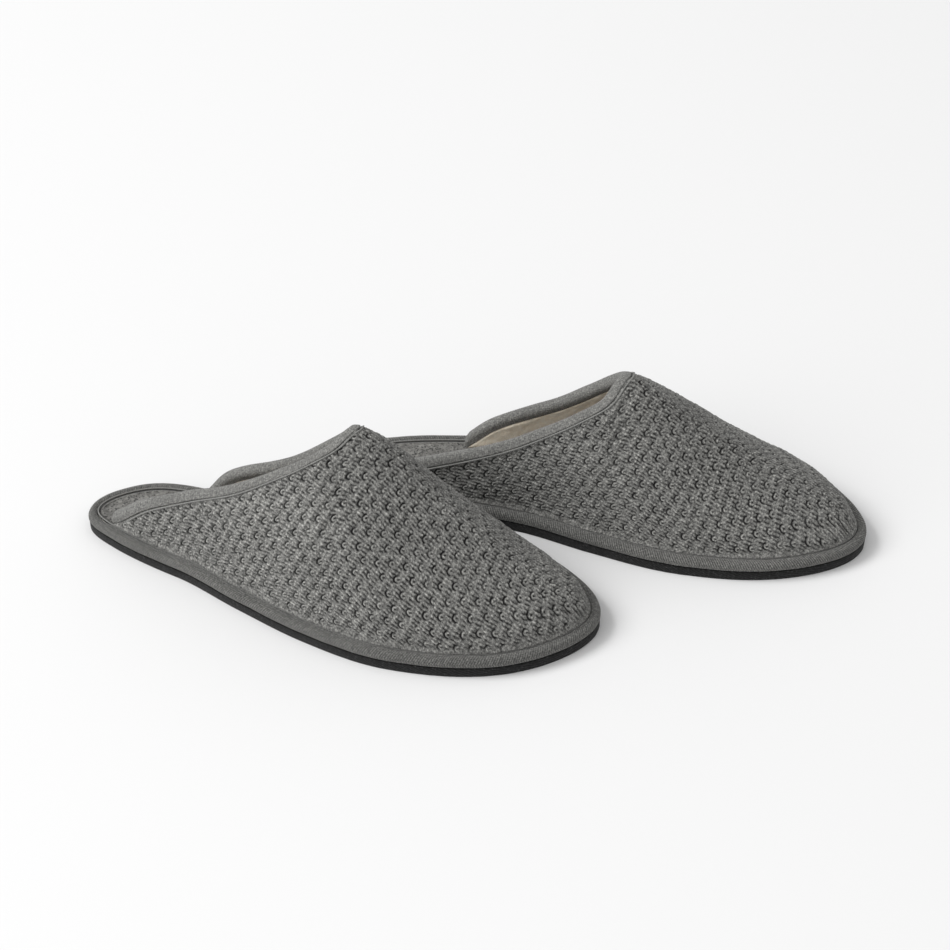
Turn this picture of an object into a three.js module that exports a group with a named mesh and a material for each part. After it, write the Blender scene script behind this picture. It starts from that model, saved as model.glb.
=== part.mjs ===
// A pair of backless knitted spa slippers, each one a soft upper on a flat padded sole.
// Millimetres. +Z is up, +Y runs from heel to toe, +X is the outer side of the right foot.
import * as THREE from 'three';

// ---- Driving dimensions, sole ----
const SOLE_LENGTH = 280;
const HEEL = { at: 0.07, width: 41, shift: -4 };
const HEEL_SEAT = { at: 0.215, width: 59, shift: -2 };
const WAIST = { at: 0.357, width: 73, shift: 4 };
const INSTEP = { at: 0.5, width: 92, shift: 6.2 };
const BALL = { at: 0.67, width: 103, shift: 6.3 };
const TOES = { at: 0.857, width: 82, shift: 4.5 };
const HEEL_TIP_RADIUS = 13;
const TOE_TIP_RADIUS = 18;
const OUTSOLE_THICKNESS = 5.8;
const BOARD_THICKNESS = 0.9;
const FOAM_THICKNESS = 1.4;
const FOOTBED_THICKNESS = 1.6;
const RAND_WIDTH = 4.8;
const RAND_OVERHANG = 1.4;
const RAND_ROUNDING = 1.7;
const SEAM_THREAD_RADIUS = 0.45;
const SEAM_SUNK = 0.2;
const OUTSOLE_EDGE = 0.6;
// How far the outsole stands out beyond the outline of the layers on it.
const OUTSOLE_REACH = 1.2;
const FOOTBED_BEVEL = 1.6;
// The least height of the footbed's upright edge, under its bevel.
const FOOTBED_EDGE = 0.2;

// ---- Driving dimensions, upper ----
const VAMP_HEIGHT = 90.5;
const VAMP_SAG = 6;
const CREST_AT = 0.525;
const CREST_SHIFT = -7;
const OPENING_CROWN_AT = 0.546;
// How straight each side of the upper's section is: 1 is round.
const OUTER_SLACK = 1.75;
const INNER_SLACK = 1.15;
const ROUND_FROM = 0.5;
const VAMP_LAYER_DROP = 0.55;
const WALL_LAYER_DROP = 1.1;
const WALL_SLOPE = 0.42;
const CREST_ROUNDING = 8;
const TOE_NOSE_HEIGHT = 7.5;
const TOE_NOSE_REACH = 12;
const KNIT_THICKNESS = 2.4;
const INTERLINING_THICKNESS = 1.2;
const LINING_THICKNESS = 1.8;
const BAND_HEIGHT = 5.6;
const BAND_PROUD = 0.6;
const BAND_ROUNDNESS = 0.4;
const BAND_SEAM_BELOW = 1.3;

// ---- Where the pair stands ----
const LEFT_HEEL = { x: -87, y: 118, turn: THREE.MathUtils.degToRad(4) };

// ---- Clearances ----
const GAP = 0.3;
const UPPER_FROM_SEAM = 0.5;

// The edge of the opening on each wall, from the rim towards the crown: the distance from the heel
// as a share of the sole's length, and the height over the rim as a share of the vamp's height.
const HIGH_WALL = [
  { at: 0.064, height: 0 }, { at: 0.139, height: 0.195 }, { at: 0.224, height: 0.335 },
  { at: 0.328, height: 0.495 }, { at: 0.386, height: 0.605 }, { at: 0.464, height: 0.76 },
  { at: 0.516, height: 0.865 },
];
const LOW_WALL = [
  { at: 0.214, height: 0 }, { at: 0.268, height: 0.225 }, { at: 0.304, height: 0.3 },
  { at: 0.352, height: 0.37 }, { at: 0.402, height: 0.455 }, { at: 0.464, height: 0.61 },
  { at: 0.511, height: 0.76 }, { at: 0.536, height: 0.87 },
];

// How far the middle of each slipper's walls has sunk, as a share of the vamp's height.
const RIGHT_SLUMP = 0;
const LEFT_SLUMP = 0.1;

const OUTLINE_STEPS = 28;
const WALL_STEPS = 14;
const LENGTH_STEPS = 14;
const TOE_CROWDING = 1.3;
const RIM_STEPS = 240;
const THREAD_SIDES = 5;

// How far the middle of a rounded corner stands in from the sharp corner, as a share of its radius.
const CORNER_CUT = 1 - Math.SQRT1_2;

// ---- Curve helpers ----

// A smooth function through the points, which never overshoots them (monotone cubic).
function smoothThrough(xs, ys) {
  const slopes = xs.slice(1).map((x, i) => (ys[i + 1] - ys[i]) / (x - xs[i]));
  const tangents = xs.map((x, i) => {
    if (i === 0) return slopes[0];
    if (i === xs.length - 1) return slopes[i - 1];
    const [before, after] = [slopes[i - 1], slopes[i]];
    return before * after <= 0 ? 0 : (2 * before * after) / (before + after);
  });
  return (x) => {
    let i = 0;
    while (i < xs.length - 2 && x > xs[i + 1]) i += 1;
    const width = xs[i + 1] - xs[i];
    const t = Math.min(Math.max((x - xs[i]) / width, 0), 1);
    const rise = ys[i + 1] - ys[i];
    const a = tangents[i] * width - rise;
    const b = rise - tangents[i + 1] * width;
    return ys[i] + rise * t + t * (1 - t) * ((1 - t) * a + t * b);
  };
}

function softMinimum(a, b, rounding) {
  return -rounding * Math.log(Math.exp(-a / rounding) + Math.exp(-b / rounding));
}

// ---- Sole outline ----

// Half of the sole's width at a turn phi from the heel tip (0) to the toe tip (pi). side is 1 for
// the outer side of the foot and -1 for the inner side.
function halfWidthCurve(side) {
  const stations = [HEEL, HEEL_SEAT, WAIST, INSTEP, BALL, TOES];
  const turns = stations.map((station) => Math.acos(1 - 2 * station.at));
  const fullness = stations.map((station, i) => (
    (station.width / 2 + side * station.shift) / Math.sin(turns[i])
  ));
  const heelTip = Math.sqrt((HEEL_TIP_RADIUS * SOLE_LENGTH) / 2);
  const toeTip = Math.sqrt((TOE_TIP_RADIUS * SOLE_LENGTH) / 2);
  const curve = smoothThrough([0, ...turns, Math.PI], [heelTip, ...fullness, toeTip]);
  return (phi) => Math.sin(phi) * curve(phi);
}

const OUTER_HALF = halfWidthCurve(1);
const INNER_HALF = halfWidthCurve(-1);

// A point of the outline. turn runs from 0 at the heel, by the outer side to pi at the toe, and by
// the inner side back to 2 pi.
function outlinePoint(turn) {
  const phi = turn <= Math.PI ? turn : 2 * Math.PI - turn;
  const x = turn <= Math.PI ? OUTER_HALF(phi) : -INNER_HALF(phi);
  return new THREE.Vector2(x, (SOLE_LENGTH / 2) * (1 - Math.cos(phi)));
}

// The outline moved inwards by inset, as 2 * steps points.
function insetOutline(inset, steps) {
  const delta = 1e-3;
  const points = [];
  for (let i = 0; i < 2 * steps; i += 1) {
    const turn = (Math.PI * i) / steps;
    const ahead = outlinePoint((turn + delta) % (2 * Math.PI));
    const behind = outlinePoint((turn - delta + 2 * Math.PI) % (2 * Math.PI));
    const along = ahead.sub(behind).normalize();
    const point = outlinePoint(turn);
    points.push(new THREE.Vector2(point.x - along.y * inset, point.y + along.x * inset));
  }
  return points;
}

// ---- Heights of the layers ----
const BOARD_Z = OUTSOLE_THICKNESS + GAP;
const FOAM_Z = BOARD_Z + BOARD_THICKNESS + GAP;
const FOOTBED_Z = FOAM_Z + FOAM_THICKNESS + GAP;
const FOOTBED_TOP = FOOTBED_Z + FOOTBED_THICKNESS;
const UPPER_BASE = FOOTBED_TOP + GAP;

const UPPER_THICKNESS = KNIT_THICKNESS + INTERLINING_THICKNESS + LINING_THICKNESS + 2 * GAP;

// ---- Distances inwards from the sole's outline ----
const FILLING_INSET = RAND_WIDTH - RAND_OVERHANG + GAP;
const SEAM_INSET = FILLING_INSET + GAP;
const KNIT_INSET = SEAM_INSET + SEAM_THREAD_RADIUS + UPPER_FROM_SEAM;

// ---- Surfaces of the upper ----

const CREST_Y = CREST_AT * SOLE_LENGTH;

// The edge of a layer of the upper on the sole, x as a function of y, for one side of the foot.
function rimCurve(side, inset) {
  const points = insetOutline(inset, RIM_STEPS);
  const inner = [points[0], ...points.slice(RIM_STEPS).reverse()];
  const half = side > 0 ? points.slice(0, RIM_STEPS + 1) : inner;
  return smoothThrough(half.map((point) => point.y), half.map((point) => point.x));
}

// The surface of the upper at a depth under its outer face: the y of its toe, and its points.
function upperSurface(depth) {
  const inset = KNIT_INSET + depth;
  const [outerRim, innerRim] = [rimCurve(1, inset), rimCurve(-1, inset)];
  const toeY = SOLE_LENGTH - inset;
  const vampShare = (y) => THREE.MathUtils.clamp((y - CREST_Y) / (toeY - CREST_Y), 0, 1);

  // Height of the ridge over the rim: a quarter-round nose, then a slightly hollow vamp up to the
  // crest, and behind the crest the slope that the side walls follow.
  function ridgeHeight(y) {
    const fromToe = Math.max(toeY - y, 0);
    const noseShare = Math.min(fromToe / TOE_NOSE_REACH, 1);
    const nose = TOE_NOSE_HEIGHT * Math.sqrt(1 - (1 - noseShare) ** 2);
    const slope = (VAMP_HEIGHT - TOE_NOSE_HEIGHT) / (SOLE_LENGTH - KNIT_INSET - CREST_Y);
    const sag = VAMP_SAG * Math.sin(Math.PI * vampShare(y)) ** 2;
    const vamp = nose + slope * fromToe - sag - VAMP_LAYER_DROP * depth * noseShare;
    const wall = VAMP_HEIGHT + WALL_SLOPE * (y - CREST_Y) - WALL_LAYER_DROP * depth;
    return softMinimum(vamp, wall, CREST_ROUNDING);
  }

  // angle is measured from the top of the section at y: a quarter turn is the outer rim and minus
  // a quarter turn the inner rim. The ridge lies to the inner side at the crest and runs to the
  // middle of the toe.
  function point(y, angle) {
    const middle = (outerRim(y) + innerRim(y)) / 2;
    const ridge = THREE.MathUtils.lerp(
      CREST_SHIFT, middle, THREE.MathUtils.smoothstep(vampShare(y), 0, 1),
    );
    const [rim, slack] = angle >= 0 ? [outerRim(y), OUTER_SLACK] : [innerRim(y), INNER_SLACK];
    const toe = THREE.MathUtils.smoothstep(vampShare(y), ROUND_FROM, 1);
    const flatness = THREE.MathUtils.lerp(slack, 1, toe);
    const x = ridge + (rim - ridge) * Math.abs(Math.sin(angle)) ** flatness;
    return new THREE.Vector3(x, y, UPPER_BASE + ridgeHeight(y) * Math.cos(angle));
  }

  return { toeY, ridgeHeight, point };
}

const OUTER_FACE = upperSurface(0);
const INNER_FACE = upperSurface(UPPER_THICKNESS);

// The opening's edge on one wall, from the crown (0) to the rim (1), as an angle and a y. slump
// lowers the middle of the wall, as a share of the vamp's height.
function openingWall(points, side, slump) {
  const stations = [{ y: OPENING_CROWN_AT * SOLE_LENGTH, angle: 0 }];
  [...points].reverse().forEach(({ at, height }) => {
    const y = at * SOLE_LENGTH;
    const lowered = height - 4 * slump * height * (1 - height);
    const cosine = (lowered * VAMP_HEIGHT) / OUTER_FACE.ridgeHeight(y);
    stations.push({ y, angle: side * Math.acos(cosine) });
  });
  const places = stations.map(({ y, angle }) => OUTER_FACE.point(y, angle));
  const lengths = [0];
  for (let i = 1; i < places.length; i += 1) {
    lengths.push(lengths[i - 1] + places[i].distanceTo(places[i - 1]));
  }
  const shares = lengths.map((length) => length / lengths.at(-1));
  return {
    angle: smoothThrough(shares, stations.map((station) => station.angle)),
    y: smoothThrough(shares, stations.map((station) => station.y)),
  };
}

// A point of the grid on a surface: across runs from -1 on the inner rim to 1 on the outer rim, and
// along from 0 at the toe to 1 on the opening's edge.
function gridPoint(surface, opening, across, along) {
  const wall = across >= 0 ? opening.outer : opening.inner;
  const share = Math.abs(across);
  const y = THREE.MathUtils.lerp(surface.toeY, wall.y(share), along);
  const angle = THREE.MathUtils.lerp((across * Math.PI) / 2, wall.angle(share), along);
  return surface.point(y, angle);
}

// How far along the grid a row lies: the rows are closer together at the toe.
function rowAt(row) {
  return (row / LENGTH_STEPS) ** TOE_CROWDING;
}

// ---- Solids ----

// A closed geometry from points and triangles, with its faces turned outwards.
function solid(points, triangles) {
  let volume = 0;
  const normal = new THREE.Vector3();
  triangles.forEach(([a, b, c]) => {
    volume += points[a].dot(normal.crossVectors(points[b], points[c]));
  });
  const index = triangles.flatMap(([a, b, c]) => (volume > 0 ? [a, b, c] : [a, c, b]));
  const geometry = new THREE.BufferGeometry().setFromPoints(points);
  geometry.setIndex(index);
  geometry.computeVertexNormals();
  return geometry;
}

function quad(a, b, c, d) {
  return [[a, b, c], [a, c, d]];
}

function turned(triangles) {
  return triangles.map(([a, b, c]) => [a, c, b]);
}

// A plate with the sole's outline. profile lists [inset, z] from the bottom to the top.
function plate(profile) {
  const rings = profile.map(([inset, z]) => (
    insetOutline(inset, OUTLINE_STEPS).map((point) => new THREE.Vector3(point.x, point.y, z))
  ));
  const count = 2 * OUTLINE_STEPS;
  const triangles = [];
  for (let level = 0; level < rings.length - 1; level += 1) {
    for (let i = 0; i < count; i += 1) {
      const next = (i + 1) % count;
      const [low, high] = [level * count, (level + 1) * count];
      triangles.push(...quad(low + i, low + next, high + next, high + i));
    }
  }
  const top = (rings.length - 1) * count;
  const flat = rings[0].map((point) => new THREE.Vector2(point.x, point.y));
  THREE.ShapeUtils.triangulateShape(flat, []).forEach(([a, b, c]) => {
    triangles.push([a, c, b], [top + a, top + b, top + c]);
  });
  return solid(rings.flat(), triangles);
}

// A ring that follows the sole's outline. section lists [inset, z] around the ring's section.
function rim(section) {
  const rings = section.map(([inset, z]) => (
    insetOutline(inset, OUTLINE_STEPS).map((point) => new THREE.Vector3(point.x, point.y, z))
  ));
  const count = 2 * OUTLINE_STEPS;
  const triangles = [];
  for (let k = 0; k < rings.length; k += 1) {
    const [low, high] = [k * count, ((k + 1) % rings.length) * count];
    for (let i = 0; i < count; i += 1) {
      const next = (i + 1) % count;
      triangles.push(...quad(low + i, low + next, high + next, high + i));
    }
  }
  return solid(rings.flat(), triangles);
}

// The section of a seam's thread, around the point x, z.
function threadSection(x, z) {
  return Array.from({ length: THREAD_SIDES }, (_, i) => {
    const turn = (2 * Math.PI * (i + 0.5)) / THREAD_SIDES;
    return [x + SEAM_THREAD_RADIUS * Math.cos(turn), z + SEAM_THREAD_RADIUS * Math.sin(turn)];
  });
}

// One layer of the upper, between two depths under the outer surface.
function upperLayer(opening, outerDepth, innerDepth) {
  const columns = 2 * WALL_STEPS;
  const points = [];
  [outerDepth, innerDepth].forEach((depth) => {
    const surface = upperSurface(depth);
    points.push(surface.point(surface.toeY, 0));
    for (let row = 1; row <= LENGTH_STEPS; row += 1) {
      for (let column = 0; column <= columns; column += 1) {
        points.push(gridPoint(surface, opening, column / WALL_STEPS - 1, rowAt(row)));
      }
    }
  });
  const skin = 1 + LENGTH_STEPS * (columns + 1);
  const at = (layer, row, column) => (
    layer * skin + (row === 0 ? 0 : 1 + (row - 1) * (columns + 1) + column)
  );
  const triangles = [];
  for (let column = 0; column < columns; column += 1) {
    triangles.push([at(0, 0, 0), at(0, 1, column), at(0, 1, column + 1)]);
    triangles.push([at(1, 0, 0), at(1, 1, column + 1), at(1, 1, column)]);
    for (let row = 1; row < LENGTH_STEPS; row += 1) {
      const corners = [[row, column], [row + 1, column], [row + 1, column + 1], [row, column + 1]];
      triangles.push(...quad(...corners.map(([r, c]) => at(0, r, c))));
      triangles.push(...turned(quad(...corners.map(([r, c]) => at(1, r, c)))));
    }
    const edge = LENGTH_STEPS;
    triangles.push(...quad(
      at(0, edge, column), at(1, edge, column), at(1, edge, column + 1), at(0, edge, column + 1),
    ));
  }
  for (let row = 1; row < LENGTH_STEPS; row += 1) {
    triangles.push(...quad(at(0, row, 0), at(1, row, 0), at(1, row + 1, 0), at(0, row + 1, 0)));
    triangles.push(...quad(
      at(0, row, columns), at(0, row + 1, columns), at(1, row + 1, columns), at(1, row, columns),
    ));
  }
  triangles.push([at(0, 0, 0), at(1, 0, 0), at(1, 1, 0)], [at(0, 0, 0), at(1, 1, 0), at(0, 1, 0)]);
  triangles.push(
    [at(0, 0, 0), at(0, 1, columns), at(1, 1, columns)],
    [at(0, 0, 0), at(1, 1, columns), at(1, 0, 0)],
  );
  return solid(points, triangles);
}

// The edge of the opening as frames: a place on the outer face, the way down that face, the way out
// of it and the way out of the edge. They cover the given number of grid steps on each wall.
function openingFrames(opening, steps) {
  const places = [];
  for (let i = -steps; i <= steps; i += 1) {
    const across = i / WALL_STEPS;
    const point = gridPoint(OUTER_FACE, opening, across, 1);
    const under = gridPoint(OUTER_FACE, opening, across, rowAt(LENGTH_STEPS - 1));
    const inside = gridPoint(INNER_FACE, opening, across, 1);
    places.push({
      point,
      down: under.sub(point).normalize(),
      normal: point.clone().sub(inside).normalize(),
    });
  }
  return places.map(({ point, down, normal }, i) => {
    const ahead = places[Math.min(i + 1, places.length - 1)].point;
    const behind = places[Math.max(i - 1, 0)].point;
    const outwards = ahead.clone().sub(behind).cross(normal).normalize();
    if (outwards.dot(down) > 0) outwards.negate();
    return { point, down, normal, outwards };
  });
}

// A bar along the opening's edge. section lists [outwards, normal] distances from a line on the
// outer face, which lies the given distance below the edge.
function openingBar(frames, section, below = 0) {
  const points = frames.flatMap(({ point, down, normal, outwards }) => section.map(([out, up]) => {
    const place = point.clone().addScaledVector(down, below);
    place.addScaledVector(outwards, out).addScaledVector(normal, up);
    place.z = Math.max(place.z, UPPER_BASE);
    return place;
  }));
  const sides = section.length;
  const triangles = [];
  for (let i = 0; i < frames.length - 1; i += 1) {
    for (let k = 0; k < sides; k += 1) {
      const [here, next] = [i * sides, (i + 1) * sides];
      const after = (k + 1) % sides;
      triangles.push(...quad(here + k, here + after, next + after, next + k));
    }
  }
  const last = (frames.length - 1) * sides;
  for (let k = 1; k < sides - 1; k += 1) {
    triangles.push([0, k + 1, k], [last, last + k, last + k + 1]);
  }
  return solid(points, triangles);
}

// ---- Sub-parts ----

function outsole() {
  const [side, edge] = [-OUTSOLE_REACH, OUTSOLE_EDGE - OUTSOLE_REACH];
  return plate([
    [edge, 0], [side, OUTSOLE_EDGE],
    [side, OUTSOLE_THICKNESS - OUTSOLE_EDGE], [edge, OUTSOLE_THICKNESS],
  ]);
}

function insoleBoard() {
  return plate([[FILLING_INSET, BOARD_Z], [FILLING_INSET, BOARD_Z + BOARD_THICKNESS]]);
}

function midsoleFoam() {
  return plate([[FILLING_INSET, FOAM_Z], [FILLING_INSET, FOAM_Z + FOAM_THICKNESS]]);
}

function footbedCover() {
  const bevel = Math.min(FOOTBED_BEVEL, FOOTBED_THICKNESS - FOOTBED_EDGE);
  return plate([
    [FILLING_INSET, FOOTBED_Z], [FILLING_INSET, FOOTBED_TOP - bevel],
    [FILLING_INSET + bevel, FOOTBED_TOP],
  ]);
}

function randBinding() {
  const [outer, inner] = [-RAND_OVERHANG, RAND_WIDTH - RAND_OVERHANG];
  const [low, high, round] = [BOARD_Z, FOOTBED_TOP, RAND_ROUNDING];
  const cut = round * CORNER_CUT;
  return rim([
    [inner, low], [outer + cut, low], [outer, low + cut], [outer, high - round],
    [outer + cut, high - cut], [outer + round, high], [inner - round, high],
    [inner - cut, high - cut], [inner, high - round],
  ]);
}

function randSeam() {
  return rim(threadSection(SEAM_INSET, FOOTBED_TOP - SEAM_SUNK));
}

function upperKnit(opening) {
  return upperLayer(opening, 0, KNIT_THICKNESS);
}

function upperInterlining(opening) {
  const outer = KNIT_THICKNESS + GAP;
  return upperLayer(opening, outer, outer + INTERLINING_THICKNESS);
}

function upperLining(opening) {
  return upperLayer(opening, UPPER_THICKNESS - LINING_THICKNESS, UPPER_THICKNESS);
}

function collarBand(opening) {
  const [near, far] = [GAP, GAP + BAND_HEIGHT];
  const [top, bottom] = [BAND_PROUD, -UPPER_THICKNESS - BAND_PROUD];
  const round = (top - bottom) * BAND_ROUNDNESS;
  const cut = round * CORNER_CUT;
  return openingBar(openingFrames(opening, WALL_STEPS), [
    [near, bottom], [far - round, bottom], [far - cut, bottom + cut], [far, bottom + round],
    [far, top - round], [far - cut, top - cut], [far - round, top], [near, top],
  ]);
}

function collarSeam(opening) {
  const section = threadSection(0, SEAM_THREAD_RADIUS + GAP);
  return openingBar(openingFrames(opening, WALL_STEPS - 1), section, BAND_SEAM_BELOW);
}

// ---- Materials ----

function cloth(color, roughness) {
  return new THREE.MeshStandardMaterial({ color, roughness, metalness: 0 });
}

const KNIT_GREY = 0x74736f;
const RIB_GREY = 0x6f6e6a;
const FOOTBED_GREY = 0x6b6a66;
const FELT_DARK = 0x232325;
const FLEECE_CREAM = 0xd2bb9a;
const FOAM_WHITE = 0xe6e3da;
const BOARD_BROWN = 0xa98f6a;
const THREAD_GREY = 0x8b8a85;

// ---- Slippers ----

// side is 1 for the right foot and -1 for the left. opening gives each wall's edge.
function slipper(name, side, opening) {
  const pieces = [
    ['outsole', outsole(), cloth(FELT_DARK, 0.95)],
    ['insole_board', insoleBoard(), cloth(BOARD_BROWN, 0.9)],
    ['midsole_foam', midsoleFoam(), cloth(FOAM_WHITE, 0.9)],
    ['footbed_cover', footbedCover(), cloth(FOOTBED_GREY, 0.95)],
    ['rand_binding', randBinding(), cloth(RIB_GREY, 0.95)],
    ['rand_seam', randSeam(), cloth(THREAD_GREY, 0.8)],
    ['upper_knit', upperKnit(opening), cloth(KNIT_GREY, 0.95)],
    ['upper_interlining', upperInterlining(opening), cloth(FOAM_WHITE, 0.95)],
    ['upper_lining', upperLining(opening), cloth(FLEECE_CREAM, 1)],
    ['collar_band', collarBand(opening), cloth(RIB_GREY, 0.95)],
    ['collar_seam', collarSeam(opening), cloth(THREAD_GREY, 0.8)],
  ];
  const group = new THREE.Group();
  pieces.forEach(([piece, geometry, material]) => {
    if (side < 0) mirror(geometry);
    const mesh = new THREE.Mesh(geometry, material);
    mesh.name = `${name}_${piece}`;
    group.add(mesh);
  });
  return group;
}

function mirror(geometry) {
  geometry.scale(-1, 1, 1);
  geometry.setIndex(Array.from(geometry.index.array).reverse());
  geometry.computeVertexNormals();
}

// On both slippers the wall on the +X side stands high and reaches back to the heel, and the other
// wall has slumped lower.
const RIGHT_OPENING = {
  outer: openingWall(HIGH_WALL, 1, RIGHT_SLUMP), inner: openingWall(LOW_WALL, -1, RIGHT_SLUMP),
};
const LEFT_OPENING = {
  outer: openingWall(LOW_WALL, 1, LEFT_SLUMP), inner: openingWall(HIGH_WALL, -1, LEFT_SLUMP),
};

const right = slipper('right', 1, RIGHT_OPENING);
const left = slipper('left', -1, LEFT_OPENING);
left.position.set(LEFT_HEEL.x, LEFT_HEEL.y, 0);
left.rotation.z = LEFT_HEEL.turn;

const pair = new THREE.Group();
pair.add(right, left);
const middle = new THREE.Box3().setFromObject(pair, true).getCenter(new THREE.Vector3());
pair.position.set(-middle.x, -middle.y, 0);

export default pair;
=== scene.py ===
"""A pair of knitted spa slippers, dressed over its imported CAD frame.

Shapes are worked out in millimetres in each slipper's own frame (heel tip at the origin, +Y to the
toe, +X to the outer side of a right foot), and set into the row frame by the boxes of the soles.
"""

import math

import bpy
import numpy as np
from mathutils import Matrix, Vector


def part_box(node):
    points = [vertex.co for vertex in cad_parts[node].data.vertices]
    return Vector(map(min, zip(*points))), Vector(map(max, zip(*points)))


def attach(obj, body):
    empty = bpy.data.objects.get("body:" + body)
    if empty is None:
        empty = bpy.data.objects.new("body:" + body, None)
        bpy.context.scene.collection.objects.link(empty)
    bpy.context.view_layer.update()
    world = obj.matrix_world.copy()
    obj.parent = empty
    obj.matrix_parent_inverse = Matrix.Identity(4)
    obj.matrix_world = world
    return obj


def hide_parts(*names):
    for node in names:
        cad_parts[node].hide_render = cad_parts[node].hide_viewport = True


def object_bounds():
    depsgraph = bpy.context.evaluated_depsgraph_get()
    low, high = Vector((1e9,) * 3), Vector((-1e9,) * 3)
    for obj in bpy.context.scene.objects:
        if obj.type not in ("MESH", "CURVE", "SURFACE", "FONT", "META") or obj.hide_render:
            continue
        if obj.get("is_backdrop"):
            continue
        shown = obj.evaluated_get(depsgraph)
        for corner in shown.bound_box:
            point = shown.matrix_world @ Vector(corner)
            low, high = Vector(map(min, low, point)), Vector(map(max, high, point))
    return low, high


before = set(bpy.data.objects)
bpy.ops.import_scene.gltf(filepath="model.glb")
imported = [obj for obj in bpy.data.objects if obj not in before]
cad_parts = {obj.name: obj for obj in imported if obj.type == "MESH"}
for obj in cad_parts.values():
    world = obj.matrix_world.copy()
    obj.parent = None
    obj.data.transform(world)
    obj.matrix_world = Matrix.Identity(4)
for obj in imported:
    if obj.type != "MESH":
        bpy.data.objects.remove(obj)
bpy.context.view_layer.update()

MM = 0.001

# ---- Sizes of the slippers, as in the CAD ----
SOLE_LENGTH = 280
STATIONS = ((0.07, 41, -4), (0.215, 59, -2), (0.357, 73, 4), (0.5, 92, 6.2), (0.67, 103, 6.3),
            (0.857, 82, 4.5))  # share of the length, width, shift to the outer side
HEEL_TIP_RADIUS, TOE_TIP_RADIUS = 13, 18
OUTSOLE_THICKNESS, BOARD_THICKNESS, FOAM_THICKNESS, FOOTBED_THICKNESS = 5.8, 0.9, 1.4, 1.6
RAND_WIDTH, RAND_OVERHANG = 4.8, 1.4
THREAD_RADIUS, SEAM_SUNK = 0.45, 0.2
OUTSOLE_EDGE, OUTSOLE_REACH, FOOTBED_BEVEL = 0.6, 1.2, 1.4
VAMP_HEIGHT, VAMP_SAG, CREST_AT, CREST_SHIFT = 90.5, 6, 0.525, -7
OPENING_CROWN_AT = 0.546
OUTER_SLACK, INNER_SLACK, ROUND_FROM = 1.75, 1.15, 0.5
VAMP_LAYER_DROP, WALL_LAYER_DROP, WALL_SLOPE, CREST_ROUNDING = 0.55, 1.1, 0.42, 8
TOE_NOSE_HEIGHT, TOE_NOSE_REACH = 7.5, 12
KNIT_THICKNESS, INTERLINING_THICKNESS, LINING_THICKNESS = 2.4, 1.2, 1.8
BAND_HEIGHT, BAND_PROUD, BAND_ROUNDNESS, BAND_SEAM_BELOW = 5.6, 0.6, 0.4, 1.3
LEFT_TURN = math.radians(4)
GAP, UPPER_FROM_SEAM = 0.3, 0.5
HIGH_WALL = ((0.064, 0), (0.139, 0.195), (0.224, 0.335), (0.328, 0.495), (0.386, 0.605),
             (0.464, 0.76), (0.516, 0.865))
LOW_WALL = ((0.214, 0), (0.268, 0.225), (0.304, 0.3), (0.352, 0.37), (0.402, 0.455),
            (0.464, 0.61), (0.511, 0.76), (0.536, 0.87))
RIGHT_SLUMP, LEFT_SLUMP = 0, 0.1

BOARD_Z = OUTSOLE_THICKNESS + GAP
FOAM_Z = BOARD_Z + BOARD_THICKNESS + GAP
FOOTBED_Z = FOAM_Z + FOAM_THICKNESS + GAP
FOOTBED_TOP = FOOTBED_Z + FOOTBED_THICKNESS
UPPER_BASE = FOOTBED_TOP + GAP
UPPER_THICKNESS = KNIT_THICKNESS + INTERLINING_THICKNESS + LINING_THICKNESS + 2 * GAP
FILLING_INSET = RAND_WIDTH - RAND_OVERHANG + GAP
SEAM_INSET = FILLING_INSET + GAP
KNIT_INSET = SEAM_INSET + THREAD_RADIUS + UPPER_FROM_SEAM
CREST_Y = CREST_AT * SOLE_LENGTH
CROWN_Y = OPENING_CROWN_AT * SOLE_LENGTH
CORNER_CUT = 1 - math.sqrt(0.5)

# ---- Camera: where it looks from, round the middle of the pair ----
CAMERA_AZIMUTH, CAMERA_ELEVATION = 107.83, 40.15
CAMERA_DISTANCE, CAMERA_LENS, CAMERA_SENSOR = 1.151, 83.74, 36
AIM_SHIFT = (0.0020, 0.0011, -0.0027)


# ---- Curves ----

def smooth_through(xs, ys):
    """A smooth function through the points, which never overshoots them (monotone cubic)."""
    xs, ys = np.asarray(xs, float), np.asarray(ys, float)
    widths = np.diff(xs)
    slopes = np.diff(ys) / widths
    before, after = slopes[:-1], slopes[1:]
    same_way = before * after > 0
    total = np.where(same_way, before + after, 1)
    middle = np.where(same_way, 2 * before * after / total, 0)
    tangents = np.concatenate([slopes[:1], middle, slopes[-1:]])

    def curve(x):
        i = np.clip(np.searchsorted(xs, x, side="left") - 1, 0, len(xs) - 2)
        t = np.clip((x - xs[i]) / widths[i], 0, 1)
        rise = ys[i + 1] - ys[i]
        a = tangents[i] * widths[i] - rise
        b = rise - tangents[i + 1] * widths[i]
        return ys[i] + rise * t + t * (1 - t) * ((1 - t) * a + t * b)

    return curve


def smoothstep(x, low=0.0, high=1.0):
    t = np.clip((x - low) / (high - low), 0, 1)
    return t * t * (3 - 2 * t)


def lerp(a, b, t):
    return a + (b - a) * t


def unit(vectors):
    return vectors / np.linalg.norm(vectors, axis=-1, keepdims=True)


def running_length(points):
    """How far along the line through them the points lie. There may be several rows of points."""
    steps = np.linalg.norm(np.diff(points, axis=-2), axis=-1)
    return np.concatenate([np.zeros_like(steps[..., :1]), np.cumsum(steps, axis=-1)], axis=-1)


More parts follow.
